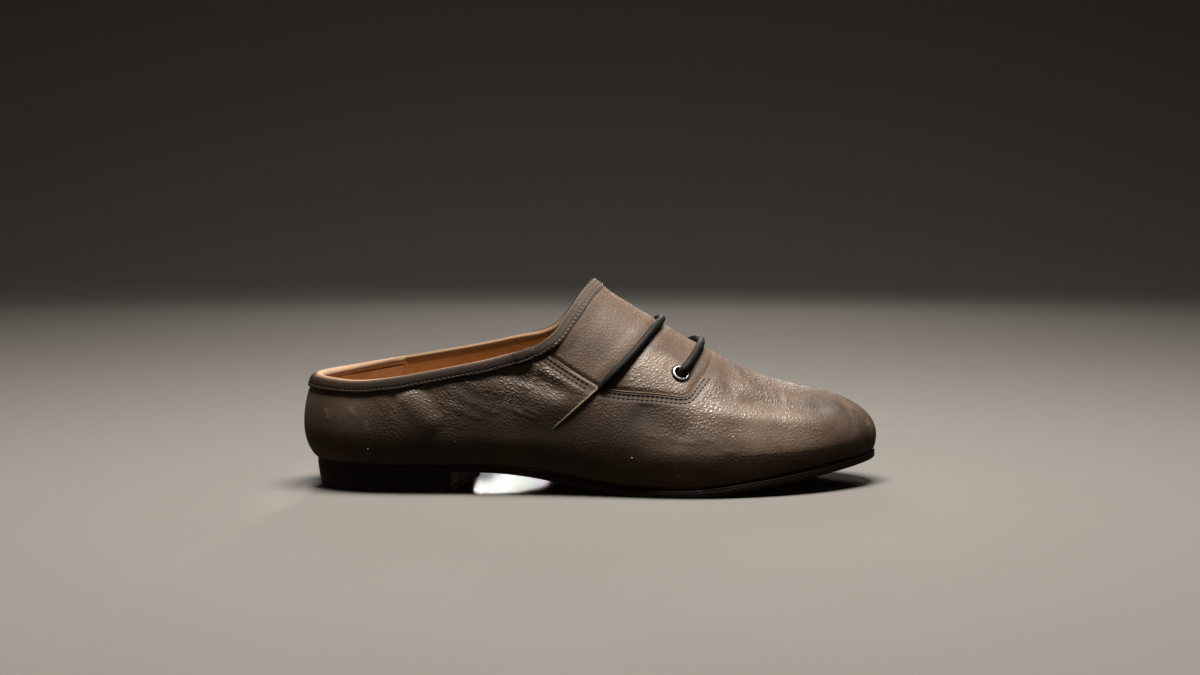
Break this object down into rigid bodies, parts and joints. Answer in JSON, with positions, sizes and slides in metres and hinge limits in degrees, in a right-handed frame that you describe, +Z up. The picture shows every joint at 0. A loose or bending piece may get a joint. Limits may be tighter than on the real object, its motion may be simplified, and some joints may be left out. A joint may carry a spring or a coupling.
{
  "type": "dance shoe",
  "caption": "Low-cut brown leather dance shoe with a laced instep panel, bound collar, thin leather sole with an arched shank and a low heel.",
  "frame": {"origin": "on the floor under the middle of the shoe's overall length and width", "axes": "+X towards the toe, +Z up, -Y towards the lateral (outer) side"},
  "size_m": [0.264, 0.0869, 0.0945],
  "materials": {
    "upper_leather": "semi-gloss pebbled full grain, worn",
    "binding_leather": "satin",
    "sole_leather": "dull, waxed edge",
    "heel_leather": "dull, waxed",
    "lining_leather": "matt",
    "lace_cord": "matt waxed round cord",
    "eyelet_metal": "bright nickel"
  },
  "bodies": {
    "root": {"outsole": "sole_leather", "heel": "heel_leather", "insole": "lining_leather", "upper": "upper_leather", "instep_panel": "upper_leather", "collar_binding": "binding_leather", "lace_rear": "lace_cord", "lace_front": "lace_cord", "eyelet_lateral": "eyelet_metal", "eyelet_medial": "eyelet_metal"}
  },
  "joints": []
}
